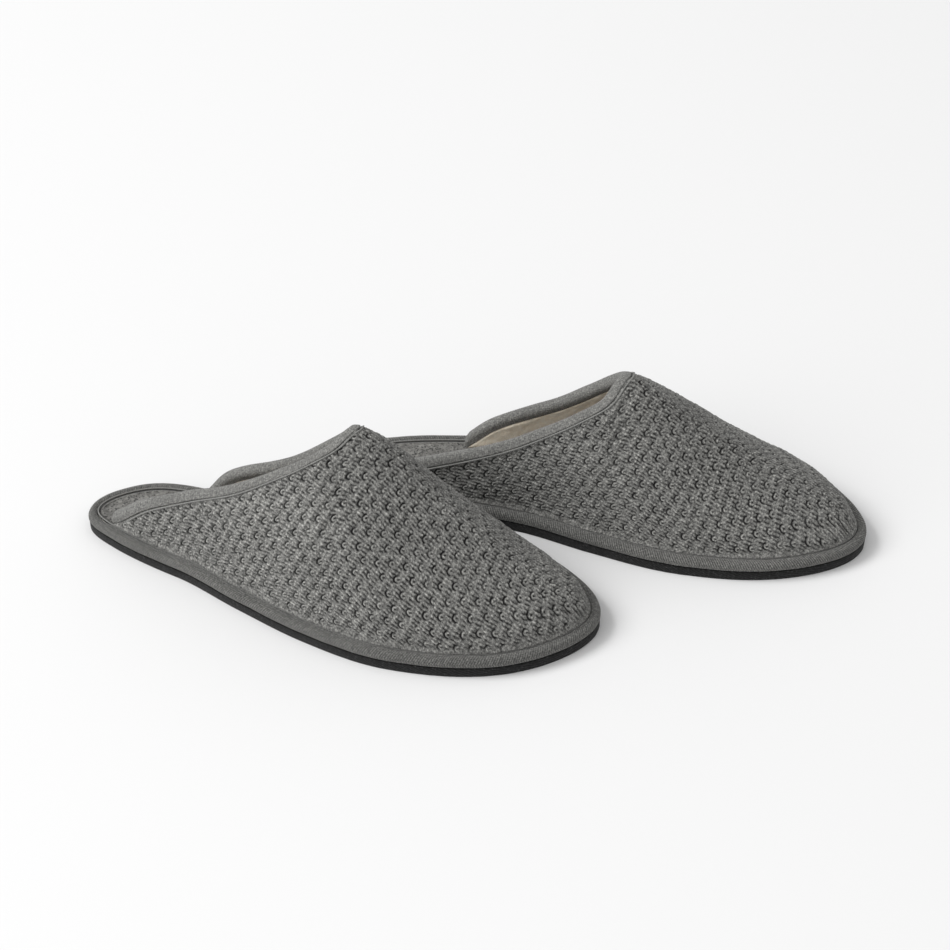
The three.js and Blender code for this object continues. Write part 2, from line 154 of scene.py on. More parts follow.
def half_width_curve(side):
    at, width, shift = np.array(STATIONS).T
    turns = np.arccos(1 - 2 * at)
    fullness = (width / 2 + side * shift) / np.sin(turns)
    tips = [math.sqrt(radius * SOLE_LENGTH / 2) for radius in (HEEL_TIP_RADIUS, TOE_TIP_RADIUS)]
    curve = smooth_through([0, *turns, math.pi], [tips[0], *fullness, tips[1]])
    return lambda phi: np.sin(phi) * curve(phi)


OUTER_HALF, INNER_HALF = half_width_curve(1), half_width_curve(-1)


def outline(turn):
    """Points of the sole's outline: turn 0 is the heel tip, pi the toe tip by the outer side."""
    turn = np.mod(turn, 2 * math.pi)
    phi = np.where(turn <= math.pi, turn, 2 * math.pi - turn)
    x = np.where(turn <= math.pi, OUTER_HALF(phi), -INNER_HALF(phi))
    return np.stack([x, SOLE_LENGTH / 2 * (1 - np.cos(phi))], -1)


def outline_normal(turn):
    """The way out of the outline, in the plane of the sole."""
    delta = 1e-3
    along = unit(outline(turn + delta) - outline(turn - delta))
    return np.stack([along[..., 1], -along[..., 0]], -1)


def inset_outline(inset, turn):
    inset = np.asarray(inset, float)
    return outline(turn) - outline_normal(turn) * inset[..., None]


def even_turns(count):
    """Turns of the outline at even distances along it, and its length."""
    turns = np.linspace(0, 2 * math.pi, 8001)
    length = running_length(outline(turns))
    return np.interp(np.arange(count) / count * length[-1], length, turns), length[-1]


# ---- Noise ----

def value_noise(points, size, seed):
    """Smooth noise from -1 to 1 at the points, with features of about the given size."""
    table = np.random.default_rng(seed).uniform(-1, 1, 4096)
    p = np.asarray(points, float) / size
    cell = np.floor(p).astype(np.int64)
    t = p - cell
    t = t * t * (3 - 2 * t)
    total = np.zeros(len(p))
    for corner in np.ndindex(2, 2, 2):
        c = cell + corner
        key = (c[:, 0] * 73856093) ^ (c[:, 1] * 19349663) ^ (c[:, 2] * 83492791)
        weight = np.prod(np.where(np.array(corner) == 1, t, 1 - t), axis=1)
        total += weight * table[key % 4096]
    return total


# ---- The upper's surfaces ----

class UpperSurface:
    """The surface of the upper at a depth under its outer face."""

    def __init__(self, depth):
        self.depth = depth
        inset = KNIT_INSET + depth
        turns = np.linspace(0, math.pi, 241)
        outer = inset_outline(inset, turns)
        inner = inset_outline(inset, 2 * math.pi - turns)
        self.outer_rim = smooth_through(outer[:, 1], outer[:, 0])
        self.inner_rim = smooth_through(inner[:, 1], inner[:, 0])
        self.toe_y = SOLE_LENGTH - inset

    def vamp_share(self, y):
        return np.clip((y - CREST_Y) / (self.toe_y - CREST_Y), 0, 1)

    def ridge_height(self, y):
        from_toe = np.maximum(self.toe_y - y, 0)
        nose_share = np.minimum(from_toe / TOE_NOSE_REACH, 1)
        nose = TOE_NOSE_HEIGHT * np.sqrt(1 - (1 - nose_share) ** 2)
        slope = (VAMP_HEIGHT - TOE_NOSE_HEIGHT) / (SOLE_LENGTH - KNIT_INSET - CREST_Y)
        sag = VAMP_SAG * np.sin(math.pi * self.vamp_share(y)) ** 2
        vamp = nose + slope * from_toe - sag - VAMP_LAYER_DROP * self.depth * nose_share
        wall = VAMP_HEIGHT + WALL_SLOPE * (y - CREST_Y) - WALL_LAYER_DROP * self.depth
        r = CREST_ROUNDING
        return -r * np.log(np.exp(-vamp / r) + np.exp(-wall / r))

    def point(self, y, angle):
        """The point of the section at y at an angle from its top, in radians."""
        y, angle = np.broadcast_arrays(np.asarray(y, float), np.asarray(angle, float))
        outer, inner = self.outer_rim(y), self.inner_rim(y)
        share = self.vamp_share(y)
        ridge = lerp(CREST_SHIFT, (outer + inner) / 2, smoothstep(share))
        rim = np.where(angle >= 0, outer, inner)
        slack = np.where(angle >= 0, OUTER_SLACK, INNER_SLACK)
        flatness = lerp(slack, 1, smoothstep(share, ROUND_FROM, 1))
        x = ridge + (rim - ridge) * np.abs(np.sin(angle)) ** flatness
        return np.stack([x, y, UPPER_BASE + self.ridge_height(y) * np.cos(angle)], -1)


OUTER_FACE, INNER_FACE = UpperSurface(0), UpperSurface(UPPER_THICKNESS)


class Wall:
    """The opening's edge on one wall: angle and y from the crown (0) to the rim (1)."""

    def __init__(self, points, side, slump):
        y, angle = [CROWN_Y], [0.0]
        for at, height in reversed(points):
            lowered = height - 4 * slump * height * (1 - height)
            y.append(at * SOLE_LENGTH)
            cosine = lowered * VAMP_HEIGHT / OUTER_FACE.ridge_height(y[-1])
            angle.append(side * math.acos(cosine))
        length = running_length(OUTER_FACE.point(np.array(y), np.array(angle)))
        shares = length / length[-1]
        self.angle, self.y = smooth_through(shares, angle), smooth_through(shares, y)
        self.tail_y = y[-1]
        fine = np.linspace(1, 0, 2001)
        self.fine_y, self.fine_angle = self.y(fine), self.angle(fine)

    def angle_at(self, y):
        """The angle of the edge at a y behind the crown."""
        return np.interp(y, self.fine_y, self.fine_angle)


class Opening:
    """The opening's edge on both walls, and the CAD's grid over the upper."""

    def __init__(self, outer, inner, slump):
        self.outer, self.inner = Wall(outer, 1, slump), Wall(inner, -1, slump)

    def grid(self, surface, across, along):
        """A point of the CAD grid: across from -1 to 1, along from the toe to the edge."""
        share = np.abs(across)
        outer = across >= 0
        wall_y = np.where(outer, self.outer.y(share), self.inner.y(share))
        wall_angle = np.where(outer, self.outer.angle(share), self.inner.angle(share))
        angle = lerp(across * math.pi / 2, wall_angle, along)
        return surface.point(lerp(surface.toe_y, wall_y, along), angle)


OPENINGS = {"right": Opening(HIGH_WALL, LOW_WALL, RIGHT_SLUMP),
            "left": Opening(LOW_WALL, HIGH_WALL, LEFT_SLUMP)}


# ---- Meshes ----

SIDES = {"right": 1, "left": -1}
UPPER_MIDDLE = (0, CREST_Y, 20)  # a point inside the upper


def find_places():
    """Where each slipper's own frame stands in the row frame, from the boxes of the soles."""
    turns = np.linspace(0, 2 * math.pi, 4001)
    places = {}
    for name, turn in (("right", 0), ("left", LEFT_TURN)):
        points = inset_outline(-OUTSOLE_REACH, turns) * [SIDES[name], 1]
        c, s = math.cos(turn), math.sin(turn)
        points = points @ np.array([[c, s], [-s, c]])
        low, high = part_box(name + "_outsole")
        middle = (points.min(0) + points.max(0)) / 2
        shift = np.array([low.x + high.x, low.y + high.y]) / 2 / MM - middle
        places[name] = (c, s, shift)
    return places


PLACES = find_places()


def in_row(name, points):
    """Points of one slipper's own frame, in millimetres, as points of the row frame in metres."""
    c, s, shift = PLACES[name]
    x, y, z = (points * [SIDES[name], 1, 1]).T
    return np.stack([x * c - y * s + shift[0], x * s + y * c + shift[1], z], -1) * MM


def corners_of(points, triangles):
    return (points[triangles[:, k]] for k in range(3))


def outward_normals(points, triangles):
    """The way out of one skin of the upper, at each of its points."""
    a, b, c = corners_of(points, triangles)
    face = np.cross(b - a, c - a)
    normals = np.zeros_like(points)
    for k in range(3):
        np.add.at(normals, triangles[:, k], face)
    normals /= np.maximum(np.linalg.norm(normals, axis=1, keepdims=True), 1e-12)
    return normals if np.sum(normals * (points - UPPER_MIDDLE)) > 0 else -normals


def make_piece(slipper, piece, points, faces, weave=None):
    """A mesh object that stands for the CAD node of the same name. weave gives each point's own
    coordinates and its painted shading, for the material."""
    triangles = np.array([(f[0], f[k], f[k + 1]) for f in faces for k in range(1, len(f) - 1)])
    a, b, c = corners_of(points, triangles)
    volume = float(np.einsum("ij,ij->", a, np.cross(b, c)))
    if (volume < 0) != (SIDES[slipper] < 0):
        faces = [f[::-1] for f in faces]
    node = f"{slipper}_{piece}"
    mesh = bpy.data.meshes.new("soft_" + node)
    mesh.from_pydata(in_row(slipper, points).tolist(), [], faces)
    if weave is not None:
        attribute = mesh.attributes.new("weave", "FLOAT_VECTOR", "POINT")
        attribute.data.foreach_set("vector", np.asarray(weave, np.float32).ravel())
    mesh.shade_smooth()
    obj = bpy.data.objects.new("soft_" + node, mesh)
    bpy.context.scene.collection.objects.link(obj)
    mesh.materials.append(MATERIALS[SLOTS[piece]])
    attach(obj, slipper + "_slipper")
    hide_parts(node)
    return obj


def ring_faces(count, sides, closed):
    """Quads between count rings of sides points each; closed joins the last ring to the first."""
    i = np.arange(count if closed else count - 1)
    k = np.arange(sides)
    here, after = np.meshgrid(i, k, indexing="ij")
    nxt, right = (here + 1) % count, (after + 1) % sides
    quads = [here * sides + after, here * sides + right, nxt * sides + right, nxt * sides + after]
    return np.stack([q.ravel() for q in quads], -1).tolist()


# ---- The sole's layers ----

PLATE_STATIONS = 300  # cuts across a plate, from its heel to its toe
OUTSOLE_COLUMNS, FILLING_COLUMNS, FOOTBED_COLUMNS = 40, 30, 110
OUTSOLE_ROUGHNESS, FOOTBED_SINK = 0.16, 0.22

# The footbed's rounded edge: how far in each step lies, and the share of the bevel still to climb.
FOOTBED_PROFILE = ((0.0, 1), (0.9, 0.75), (1.6, 0.4), (2.3, 0.15), (3.2, 0))


def plate(profile, columns):
    """A plate with the sole's outline, from [inset, z] at the bottom to the top, with both its
    faces as grids. Returns its points, faces and which points lie inside the top face."""
    n, count = PLATE_STATIONS, 2 * PLATE_STATIONS
    turns = np.linspace(0, 2 * math.pi, count, endpoint=False)
    rings = [np.column_stack([inset_outline(inset, turns), np.full(count, z)])
             for inset, z in profile]
    faces = ring_faces(len(rings), count, False)
    points, used = [*rings], len(rings) * count
    share, i = np.arange(1, columns) / columns, np.arange(1, n)
    for level, top in ((0, False), (len(rings) - 1, True)):
        base, ring = level * count, rings[level]
        inside = lerp(ring[count - i][:, None], ring[i][:, None], share[:, None])
        numbers = used + np.arange((n - 1) * (columns - 1))
        grid = np.full((n + 1, columns + 1), base)
        grid[n] = base + n
        grid[1:n, 0], grid[1:n, -1] = base + count - i, base + i
        grid[1:n, 1:-1] = numbers.reshape(n - 1, columns - 1)
        used += len(numbers)
        points.append(inside.reshape(-1, 3))
        quads = np.stack([grid[:-1, :-1], grid[:-1, 1:], grid[1:, 1:], grid[1:, :-1]], -1)
        for quad in quads.reshape(-1, 4).tolist():
            face = list(dict.fromkeys(quad))
            faces.append(face if top else face[::-1])
    return np.concatenate(points), faces, numbers


def sole_area(inset):
    """The flat size of a layer cut to the outline, as its width, length and area, in metres."""
    turns = np.linspace(0, 2 * math.pi, 2001)
    x, y = inset_outline(inset, turns).T
    area = 0.5 * abs(np.sum(x[:-1] * y[1:] - x[1:] * y[:-1]))
    return (np.ptp(x) * MM, np.ptp(y) * MM), area * MM * MM


def build_outsole(slipper):
    edge, top = OUTSOLE_EDGE, OUTSOLE_THICKNESS
    cut = edge * CORNER_CUT
    profile = [(edge, 0), (cut, cut), (0, edge), (0, top / 2), (0, top - edge), (cut, top - cut),
               (edge, top)]
    profile = [(inset - OUTSOLE_REACH, z) for inset, z in profile]
    points, faces, _ = plate(profile, OUTSOLE_COLUMNS)
    upright = (points[:, 2] > edge / 2) & (points[:, 2] < top - edge / 2)
    rough = OUTSOLE_ROUGHNESS * value_noise(points[upright], 1.8, 11)
    points[upright, :2] += rough[:, None]
    obj = make_piece(slipper, "outsole", points, faces)
    flat, area = sole_area(-OUTSOLE_REACH)


def build_filling(slipper):
    levels = (BOARD_Z, BOARD_Z + BOARD_THICKNESS)
    board, faces, _ = plate([(FILLING_INSET, z) for z in levels], FILLING_COLUMNS)
    make_piece(slipper, "insole_board", board, faces)
    levels = (FOAM_Z, FOAM_Z + FOAM_THICKNESS / 2, FOAM_Z + FOAM_THICKNESS)
    foam, faces, inside = plate([(FILLING_INSET, z) for z in levels], FILLING_COLUMNS)
    foam[inside, 2] -= 0.1 * (1 + value_noise(foam[inside], 6, 12)) * GAP
    make_piece(slipper, "midsole_foam", foam, faces)


def build_footbed(slipper):
    profile = [(FILLING_INSET, FOOTBED_Z)]
    profile += [(FILLING_INSET + in_by, FOOTBED_TOP - FOOTBED_BEVEL * left)
                for in_by, left in FOOTBED_PROFILE]
    points, faces, inside = plate(profile, FOOTBED_COLUMNS)
    p = points[inside]
    relief = 0.16 * value_noise(p, 1.6, 21) + 0.14 * value_noise(p, 4.5, 22)
    points[inside, 2] += relief - FOOTBED_SINK
    # Painted shade, darker down the bevel where the footbed sinks towards the groove at its edge.
    painted_shading = np.zeros((len(points), 3))
    painted_shading[:, 2] = 0.75 * smoothstep(FOOTBED_TOP - 0.1 - points[:, 2], 0, 0.9)
    obj = make_piece(slipper, "footbed_cover", points, faces, painted_shading)
    flat, area = sole_area(FILLING_INSET)


# ---- The rand ----

RAND_RIB_PITCH, RAND_RIB_SLANT, RAND_RIB_DEPTH, RAND_RIB_STEPS = 1.3, 0.4, 0.17, 6
RAND_RADII, RAND_PROUD, RAND_SPACING, ARC_STEPS = (0.9, 0, 0.5, 2.6), 0.15, 0.8, 7
GROOVE_DEPTH, GROOVE_WIDTH, GROOVE_START = 1.1, 1.9, 8
THREAD_STATIONS, THREAD_PITCH, THREAD_SIDES, PLY_DIP = 1400, 2.6, 10, 0.28


def bar_section(corners, radii, spacing):
    """A closed section, anticlockwise through the corners, each rounded to its radius (0 keeps it
    sharp). Returns its points, the way out at each of them, and how far round they lie."""
    corners = np.asarray(corners, float)
    rounded = []
    for i, (corner, radius) in enumerate(zip(corners, radii)):
        if radius == 0:
            rounded.append(corner)
            continue
        before = unit(corners[i - 1] - corner)
        after = unit(corners[(i + 1) % len(corners)] - corner)
        start, end = corner + before * radius, corner + after * radius
        centre = start + after * radius
        for t in np.linspace(0, math.pi / 2, ARC_STEPS):
            rounded.append(centre + (start - centre) * math.cos(t) + (end - centre) * math.sin(t))
    points = []
    for point, after in zip(rounded, rounded[1:] + rounded[:1]):
        n = max(1, int(np.linalg.norm(after - point) / spacing))
        points.extend(lerp(point, after, k / n) for k in range(n))
    section = np.array(points)
    along = np.roll(section, -1, 0) - np.roll(section, 1, 0)
    return section, unit(np.column_stack([along[:, 1], -along[:, 0]])), running_length(section)


def rib_weave(along, around, painted_shading):
    """The weave coordinates of a ribbed bar, with its painted shading as the third value."""
    return np.stack(np.broadcast_arrays(along, around, painted_shading), -1).reshape(-1, 3)


def build_rand(slipper):
    outer, inner = -RAND_OVERHANG, RAND_WIDTH - RAND_OVERHANG
    low, high = BOARD_Z, FOOTBED_TOP + RAND_PROUD
    corners = [(outer, low), (inner, low), (inner, high), (outer, high)]
    section, normals, around = bar_section(corners, RAND_RADII, RAND_SPACING)
    shown = smoothstep(section[:, 1], low, low + 1.5)
    shown = shown * smoothstep(-section[:, 0], -inner, 1 - inner)
    _, length = even_turns(1)
    count = int(length / RAND_RIB_PITCH) * RAND_RIB_STEPS
    turns, _ = even_turns(count)
    step = np.arange(count)[:, None] / RAND_RIB_STEPS
    wander = 0.35 * value_noise(np.column_stack([outline(turns), np.zeros(count)]), 14, 31)
    phase = 2 * math.pi * (step + wander[:, None] + around[None, :] * RAND_RIB_SLANT)
    relief = RAND_RIB_DEPTH * (np.cos(phase) - 0.4) * shown
    inset = section[None, :, 0] + normals[None, :, 0] * relief
    z = section[None, :, 1] + normals[None, :, 1] * relief
    base, out = outline(turns), outline_normal(turns)
    points = np.concatenate([base[:, None, :] - out[:, None, :] * inset[..., None],
                             z[..., None]], -1)
    flat = points.reshape(-1, 3)
    soft = value_noise(flat, 9, 32)[:, None] * 0.18
    flat = flat + np.repeat(np.column_stack([out, np.zeros(count)]), len(section), 0) * soft
    # Behind the upper the bead falls off to the groove round the footbed.
    opening = OPENINGS[slipper]
    tail = np.where(flat[:, 0] >= 0, opening.outer.tail_y, opening.inner.tail_y)
    bare = 1 - smoothstep(flat[:, 1] - tail, -GROOVE_START, 0)
    fall = smoothstep(inset.ravel(), inner - GROOVE_WIDTH, inner) * (flat[:, 2] > FOAM_Z)
    flat[:, 2] -= GROOVE_DEPTH * fall * bare
    # Painted shade in the ribs' furrows and painted highlight on their crests.
    painted_shading = np.clip(0.5 - relief / RAND_RIB_DEPTH / 2, 0, 1)
    obj = make_piece(slipper, "rand_binding", flat, ring_faces(count, len(section), True),
                     rib_weave(step * RAND_RIB_PITCH, around, painted_shading))


def twisted_thread(point, sideways, up, pitch):
    """Rings of points for a two-ply thread along the points, given its ways sideways and up."""
    around = 2 * math.pi * np.arange(THREAD_SIDES) / THREAD_SIDES
    turn = 2 * math.pi * running_length(point) / pitch
    r = THREAD_RADIUS * (1 - PLY_DIP * (0.5 + 0.5 * np.cos(2 * (around - turn[:, None]))))
    return (point[:, None, :] + sideways[:, None, :] * (r * np.cos(around))[..., None]
            + up[:, None, :] * (r * np.sin(around))[..., None])


def build_rand_seam(slipper):
    turns, length = even_turns(THREAD_STATIONS)
    z = np.full(len(turns), FOOTBED_TOP - SEAM_SUNK)
    point = np.column_stack([inset_outline(SEAM_INSET, turns), z])
    out = np.column_stack([outline_normal(turns), np.zeros(len(turns))])
    up = np.tile([0, 0, 1.0], (len(turns), 1))
    pitch = length / round(length / THREAD_PITCH)  # a whole number of twists round the sole
    rings = twisted_thread(point, out, up, pitch)
    faces = ring_faces(len(turns), rings.shape[1], True)
    make_piece(slipper, "rand_seam", rings.reshape(-1, 3), faces)


# ---- The upper's layers ----

SECTION_SAMPLES, ANGLE_STEPS = 160, 180
PADDING_SPACING, PADDING_STEP, LINING_SPACING, PILE_SPACING = 5, 3, 4, 1.3


class Developed:
    """How far a point of a surface lies across from the ridge, and along from the crest."""

    def __init__(self, surface):
        self.y = np.linspace(0.03 * SOLE_LENGTH, surface.toe_y, 700)
        self.angle = np.linspace(-math.pi / 2, math.pi / 2, ANGLE_STEPS + 1)
        grid = surface.point(self.y[:, None], self.angle[None, :])
        across, along = running_length(grid), running_length(grid.swapaxes(0, 1)).T
        crest = [np.interp(CREST_Y, self.y, column) for column in along.T]
        self.table = np.stack([across - across[:, [ANGLE_STEPS // 2]], along - crest])

    def __call__(self, y, angle):
        i = np.clip((y - self.y[0]) / (self.y[1] - self.y[0]), 0, len(self.y) - 1.001)
        k = np.clip((angle - self.angle[0]) / (self.angle[1] - self.angle[0]), 0,
                    ANGLE_STEPS - 0.001)
        a, b = i.astype(int), k.astype(int)
        s, t = i - a, k - b
        table = self.table
        return ((1 - s) * ((1 - t) * table[:, a, b] + t * table[:, a, b + 1])
                + s * ((1 - t) * table[:, a + 1, b] + t * table[:, a + 1, b + 1]))


DEVELOPED = Developed(OUTER_FACE)


def stations(surface, opening, spacing):
    """The y of each section, from the toe back to the tail of the longer wall, with one at the
    crown and one at the tail of the shorter wall."""
    fine = np.linspace(CROWN_Y, surface.toe_y, 3000)
    length = running_length(np.column_stack([fine, surface.ridge_height(fine)]))
    vamp = np.interp(np.linspace(length[-1], 0, int(length[-1] / spacing) + 1), length, fine)
    tails = sorted([opening.outer.tail_y, opening.inner.tail_y])
    walls = [np.linspace(a, b, int((a - b) / spacing) + 1)[1:]
             for a, b in ((CROWN_Y, tails[1]), (tails[1], tails[0]))]
    return np.concatenate([vamp, *walls]), len(vamp) - 1


def skin(surface, opening, spacing, station_spacing):
    """A skin of the upper as points at even spacing. Returns the y and angle of every point, the
    triangles, and the rows of points on its boundary, by name."""
    y, crown = stations(surface, opening, station_spacing)
    ys, angles, rows = [], [], {}
    used = 0
    for side, wall in ((1, opening.outer), (-1, opening.inner)):
        start = np.where(y >= CROWN_Y - 1e-9, 0.0, wall.angle_at(y))
        start = np.where(y <= wall.tail_y + 1e-9, side * math.pi / 2, start)
        fine = lerp(start[:, None], side * math.pi / 2, np.linspace(0, 1, SECTION_SAMPLES))
        length = running_length(surface.point(y[:, None], fine))
        rows[side] = []
        for i in range(len(y)):
            if y[i] < wall.tail_y - 1e-9:
                break
            total = length[i, -1]
            at_tip = i == 0 or y[i] <= wall.tail_y + 1e-9
            n = 0 if at_tip else max(2, int(round(total / spacing)))
            a = np.interp(np.linspace(0, total, n + 1), length[i], fine[i])
            if i == 0:
                a = np.array([0.0])
            if side == -1 and i <= crown:  # the ridge's points are shared with the outer half
                own = a[1:]
                ids = np.concatenate([[rows[1][i][0]], used + np.arange(len(own))])
            else:
                own, ids = a, used + np.arange(len(a))
            rows[side].append(ids.astype(int))
            ys.append(np.full(len(own), y[i]))
            angles.append(own)
            used += len(own)
    triangles = []
    for side in (1, -1):
        for first, second in zip(rows[side][:-1], rows[side][1:]):
            triangles.extend(zip_rows(first, second, side))
    loops = {}
    for side, wall in ((1, "outer"), (-1, "inner")):
        loops["edge_" + wall] = [int(row[0]) for row in rows[side][crown:]]
        loops["rim_" + wall] = [int(row[-1]) for row in rows[side]]
    return np.concatenate(ys), np.concatenate(angles), np.array(triangles), loops


def zip_rows(first, second, side):
    """Triangles between two rows of points with different numbers of points."""
    a, b = 0, 0
    n, m = len(first) - 1, len(second) - 1
    out = []
    while a < n or b < m:
        if b >= m or (a < n and (a + 1) * m <= (b + 1) * n):
            out.append((first[a], first[a + 1], second[b]))
            a += 1
        else:
            out.append((first[a], second[b + 1], second[b]))
            b += 1
    return out if side > 0 else [t[::-1] for t in out]


def close_skins(outer_loops, inner_loops, shift):
    """The strips that join an outer and an inner skin along the rim and the opening's edge."""
    out = []
    for key, flip in (("edge_outer", False), ("edge_inner", True), ("rim_outer", True),
                      ("rim_inner", False)):
        a, b = outer_loops[key], [v + shift for v in inner_loops[key]]
        for i in range(len(a) - 1):
            quad = list(dict.fromkeys([a[i], a[i + 1], b[i + 1], b[i]]))
            if len(quad) > 2:
                out.append(quad[::-1] if flip else quad)
    return out


def layer(opening, outer_depth, inner_depth, spacing, inner_spacing, step):
    """One layer of the upper as a closed body: the points of its outer and inner skins, its
    faces, and the y, angles and triangles of each skin."""
    outer, inner = UpperSurface(outer_depth), UpperSurface(inner_depth)
    y0, angle0, tri0, loops0 = skin(outer, opening, spacing, step)
    y1, angle1, tri1, loops1 = skin(outer, opening, inner_spacing, step)
    # The inner skin has as many sections as the outer one, so that the two join.
    share = np.clip((y1 - CROWN_Y) / (outer.toe_y - CROWN_Y), 0, None)
    y1 = np.where(y1 > CROWN_Y, lerp(CROWN_Y, inner.toe_y, share), y1)
    p0, p1 = outer.point(y0, angle0), inner.point(y1, angle1)
    faces = tri0.tolist() + (tri1[:, ::-1] + len(p0)).tolist()
    faces += close_skins(loops0, loops1, len(p0))
    return p0, p1, faces, (y0, angle0, tri0), (y1, angle1, tri1)


# ---- The knit's relief ----

STITCH_LENGTH, STITCH_ROW, STITCH_SHIFT = 7.9, 7.0, 0.5
STRAND_HEIGHT = 0.24
ROW_SLOPE = 0.6  # how fast the rows climb over the vamp
HEM_SPREAD, HEM_HEIGHT = 1.3, 2.6
KNIT_SPACING, KNIT_SKIN_SPACING = 0.5, 5.0
# The painted shading of the open ground between the stitches, and how far the relief may sink.
GROUND_SHADE, DEEPEST = 0.35, 1.7
JITTER_CELLS, STITCH_JITTER, STRENGTH_JITTER = 64, 0.05, 0.3

# One stitch, round the middle of its loop.
HEAD_RADIUS, HEAD_WIDTH, HEAD_HEIGHT = 0.95, 0.45, 0.55
GAP_RADIUS, GAP_WIDTH, GAP_DEPTH = 1.8, 0.52, 0.9
EYE_AT, EYE_WIDTH, EYE_LENGTH, EYE_DEPTH = 0.35, 0.5, 0.6, 0.5
STITCH_REACH = 2.4


def stitch_relief(across, along, seed):
    """The height of the knit over its ground, and its painted shading (0 to 1: painted highlight
    on the raised strands, painted shade in the gaps, a middle value on the open ground)."""
    flat = np.column_stack([across, along, np.zeros(len(across))])
    across = across + ROW_SLOPE * np.maximum(along, 0)
    across = across + 0.5 * value_noise(flat, 22, seed) + 0.25 * value_noise(flat, 5, seed + 1)
    along = along + 0.5 * value_noise(flat, 19, seed + 2) + 0.25 * value_noise(flat, 4.4, seed + 3)
    uneven = 0.95 + 0.5 * value_noise(flat, 1.3, seed + 8)
    height, raised, pit_shade = strands(across, along, uneven, value_noise(flat, 1.6, seed + 9))
    jitter = np.random.default_rng(seed + 4).uniform(-1, 1, (JITTER_CELLS, JITTER_CELLS, 4))
    row = np.floor(across / STITCH_ROW).astype(int)
    for dr in (0, 1):
        r = row + dr
        start = r * STITCH_SHIFT * STITCH_LENGTH
        column = np.floor((along - start) / STITCH_LENGTH).astype(int)
        for dc in (0, 1):
            c = column + dc
            j = jitter[r % JITTER_CELLS, c % JITTER_CELLS]
            du = across - (r + STITCH_JITTER * j[:, 0]) * STITCH_ROW
            dv = along - start - (c + STITCH_JITTER * j[:, 1]) * STITCH_LENGTH
            h, top, p, cover = stitch(du, dv, (1 + STRENGTH_JITTER * j[:, 2]) * uneven)
            height = lerp(height, h, cover)
            raised = lerp(raised, top, cover)
            pit_shade = np.maximum(pit_shade * (1 - cover), p)
    # Painted highlight where the strands are raised, painted shade in the gaps and eyes.
    painted_shading = GROUND_SHADE * (1 - np.clip(raised, 0, 1)) + (1 - GROUND_SHADE) * np.clip(pit_shade, 0, 1)
    return height, painted_shading


def strands(across, along, uneven, wander):
    """The slanted strands between the stitches, with short sunk gaps where others cross them.
    Gives their height, a painted highlight on their crests and a painted shade in the gaps.
    """
    row = across / STITCH_ROW
    column = along / STITCH_LENGTH - STITCH_SHIFT * row
    strand = np.cos(4 * math.pi * (column - row) + 0.9 * wander)
    crossing = np.cos(2 * math.pi * (column + row) + 1.0 * wander + 2.2)
    finer = np.cos(6 * math.pi * (column + row) - 1.2 * wander)
    gap = np.clip(-strand, 0, 1) * smoothstep(crossing + 0.4 * wander, -0.1, 0.75)
    # A painted highlight on the strands' crests. The gaps get a painted shade as well as depth.
    over = np.clip(strand, 0, 1) * (0.7 - 0.4 * crossing) + 0.3 * finer
    height = STRAND_HEIGHT * (strand + 0.5 * finer) * uneven - 0.5 * gap
    return height, np.clip(over, 0, 1) * uneven, 0.72 * gap


def stitch(du, dv, strength):
    """One stitch: the round head of its loop, the gap behind it at the heel end, and its eye.
    Gives its height, its painted highlight, its painted shade and how far it covers the ground."""
    radius, turn = np.hypot(du, dv), np.abs(np.arctan2(du, -dv))  # a turn of 0 is to the heel
    head = np.exp(-((radius - HEAD_RADIUS) / HEAD_WIDTH) ** 2) * smoothstep(2.9 - turn, 0, 0.6)
    gap = np.exp(-((radius - GAP_RADIUS) / GAP_WIDTH) ** 2) * smoothstep(2.1 - turn, 0, 0.8)
    gap = gap * strength
    eye = np.exp(-((du / EYE_WIDTH) ** 2 + ((dv - EYE_AT) / EYE_LENGTH) ** 2)) * strength
    pit_shade = np.maximum(np.clip(gap, 0, 1), 0.8 * np.clip(eye, 0, 1))
    cover = smoothstep(STITCH_REACH - radius, 0, 0.5)
    return HEAD_HEIGHT * head - GAP_DEPTH * gap - EYE_DEPTH * eye, 1.1 * head, pit_shade, cover


